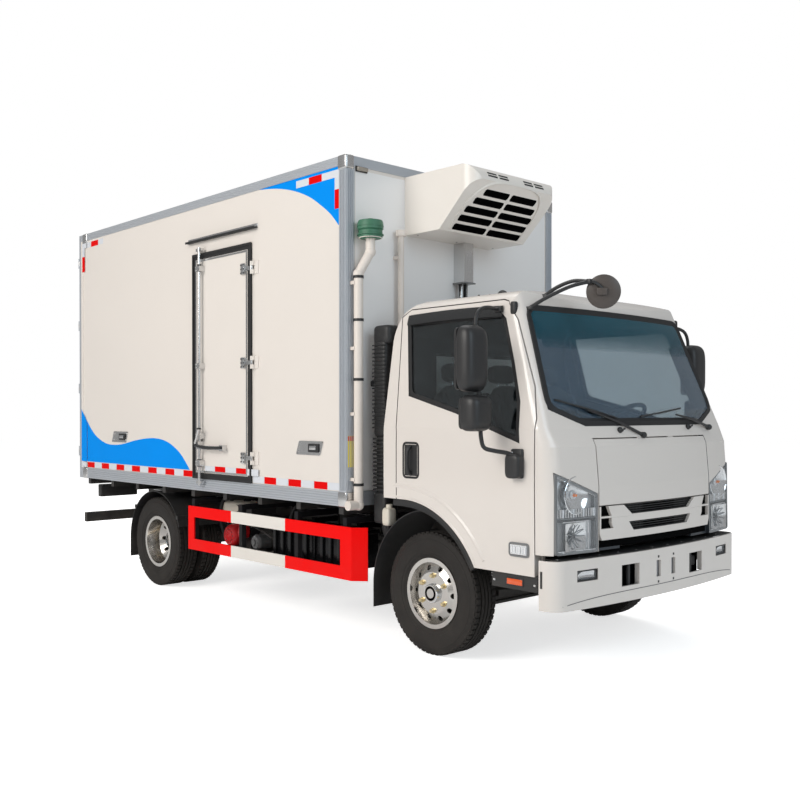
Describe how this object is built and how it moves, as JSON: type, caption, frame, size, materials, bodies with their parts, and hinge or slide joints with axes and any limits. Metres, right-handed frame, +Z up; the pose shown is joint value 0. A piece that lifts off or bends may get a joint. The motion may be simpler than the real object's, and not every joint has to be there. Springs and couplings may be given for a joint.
{
  "type": "refrigerated box truck",
  "caption": "Light two-axle refrigerated truck: tilting white cab over the engine, insulated load box with side and rear doors, cooling unit on its front wall, twin rear wheels.",
  "frame": {"origin": "on the ground, under the middle of the truck's overall length and width", "axes": "+X forward along the truck, +Y to its left, +Z up; it stands on its tyres at z 0"},
  "size_m": [5.846, 2.59, 3.246],
  "materials": {
    "cab_white": "gloss",
    "panel_white": "gloss",
    "guard_white": "gloss",
    "unit_white": "gloss",
    "pipe_white": "satin",
    "frame_black": "satin",
    "spring_steel": "matte",
    "engine_iron": "cast",
    "radiator_aluminium": "matte",
    "tank_aluminium": "satin",
    "black_plastic": "matte",
    "auxiliary_dark": "satin",
    "lamp_lens": "gloss",
    "floor_aluminium": "ribbed",
    "profile_aluminium": "anodised",
    "stainless": "brushed",
    "coil_aluminium": "finned",
    "window_glass": "clear",
    "seat_fabric": "woven",
    "interior_plastic": "grained",
    "seal_rubber": "matte",
    "wheel_polished": "polished",
    "tyre_rubber": "matte"
  },
  "bodies": {
    "chassis": {"chassis_frame": "frame_black", "body_sills": "frame_black", "front_axle": "frame_black", "rear_axle": "frame_black", "leaf_springs": "spring_steel", "engine_block": "engine_iron", "radiator": "radiator_aluminium", "fuel_tank": "tank_aluminium", "battery_box": "black_plastic", "auxiliary_engine": "auxiliary_dark", "side_guards": "guard_white", "mudguards": "black_plastic", "rear_underrun": "frame_black", "body_lamps": "lamp_lens", "front_bumper": "cab_white", "air_intake": "black_plastic", "box_floor": "floor_aluminium", "box_side_left": "panel_white", "box_side_right": "panel_white", "box_front_wall": "panel_white", "box_roof": "panel_white", "edge_profiles": "profile_aluminium", "rear_frame": "stainless", "fridge_unit": "unit_white", "fridge_core": "coil_aluminium", "fridge_duct": "stainless", "vent_pipe": "pipe_white"},
    "cab": {"cab_shell": "cab_white", "cab_glass": "window_glass", "headlamps": "lamp_lens", "grille": "cab_white", "cab_steps": "black_plastic", "under_view_mirror": "black_plastic", "seats": "seat_fabric", "dashboard": "interior_plastic"},
    "front_lid": {"front_lid": "cab_white"},
    "cab_door_left": {"cab_door_left": "cab_white", "door_glass_left": "window_glass", "door_mirror_left": "black_plastic"},
    "cab_door_right": {"cab_door_right": "cab_white", "door_glass_right": "window_glass", "door_mirror_right": "black_plastic"},
    "side_door": {"side_door": "panel_white", "side_door_seal": "seal_rubber", "side_door_hardware": "stainless"},
    "rear_door_left": {"rear_door_left": "panel_white"},
    "rear_door_right": {"rear_door_right": "panel_white"},
    "knuckle_left": {"knuckle_left": "frame_black"},
    "knuckle_right": {"knuckle_right": "frame_black"},
    "front_wheel_left": {"front_wheel_left": "wheel_polished", "front_tyre_left": "tyre_rubber"},
    "front_wheel_right": {"front_wheel_right": "wheel_polished", "front_tyre_right": "tyre_rubber"},
    "rear_wheels_left": {"rear_wheels_left": "wheel_polished", "rear_tyres_left": "tyre_rubber"},
    "rear_wheels_right": {"rear_wheels_right": "wheel_polished", "rear_tyres_right": "tyre_rubber"}
  },
  "joints": [
    {"name": "cab_tilt", "type": "hinge", "parent": "chassis", "child": "cab", "pos_m": [2.832, 0, 0.752], "axis": [0, 1, 0], "range_deg": [0, 45]},
    {"name": "cab_door_right", "type": "hinge", "parent": "cab", "child": "cab_door_right", "pos_m": [2.69, -0.992, 1.3], "axis": [0, 0, 1], "range_deg": [0, 70]},
    {"name": "cab_door_left", "type": "hinge", "parent": "cab", "child": "cab_door_left", "pos_m": [2.69, 0.992, 1.3], "axis": [0, 0, -1], "range_deg": [0, 70]},
    {"name": "front_lid", "type": "hinge", "parent": "cab", "child": "front_lid", "pos_m": [2.84112, 0, 1.3735], "axis": [0, -1, 0], "range_deg": [0, 70]},
    {"name": "side_door", "type": "hinge", "parent": "chassis", "child": "side_door", "pos_m": [0.102, -1.116, 1.9], "axis": [0, 0, 1], "range_deg": [0, 165]},
    {"name": "rear_door_right", "type": "hinge", "parent": "chassis", "child": "rear_door_right", "pos_m": [-2.889, -1.088, 2], "axis": [0, 0, 1], "range_deg": [0, 250]},
    {"name": "rear_door_left", "type": "hinge", "parent": "chassis", "child": "rear_door_left", "pos_m": [-2.889, 1.088, 2], "axis": [0, 0, -1], "range_deg": [0, 250]},
    {"name": "steer_left", "type": "hinge", "parent": "chassis", "child": "knuckle_left", "pos_m": [1.84, 0.7, 0.3875], "axis": [0, 0, 1], "range_deg": [-35, 35]},
    {"name": "steer_right", "type": "hinge", "parent": "chassis", "child": "knuckle_right", "pos_m": [1.84, -0.7, 0.3875], "axis": [0, 0, 1], "range_deg": [-35, 35]},
    {"name": "spin_front_left", "type": "hinge", "parent": "knuckle_left", "child": "front_wheel_left", "pos_m": [1.84, 0.865, 0.3875], "axis": [0, 1, 0], "continuous": true},
    {"name": "spin_front_right", "type": "hinge", "parent": "knuckle_right", "child": "front_wheel_right", "pos_m": [1.84, -0.865, 0.3875], "axis": [0, 1, 0], "continuous": true},
    {"name": "spin_rear_left", "type": "hinge", "parent": "chassis", "child": "rear_wheels_left", "pos_m": [-1.52, 0.795, 0.3875], "axis": [0, 1, 0], "continuous": true},
    {"name": "spin_rear_right", "type": "hinge", "parent": "chassis", "child": "rear_wheels_right", "pos_m": [-1.52, -0.795, 0.3875], "axis": [0, 1, 0], "continuous": true}
  ],
  "couplings": [
    {"joint": "steer_right", "follows": "steer_left", "ratio": 1}
  ]
}
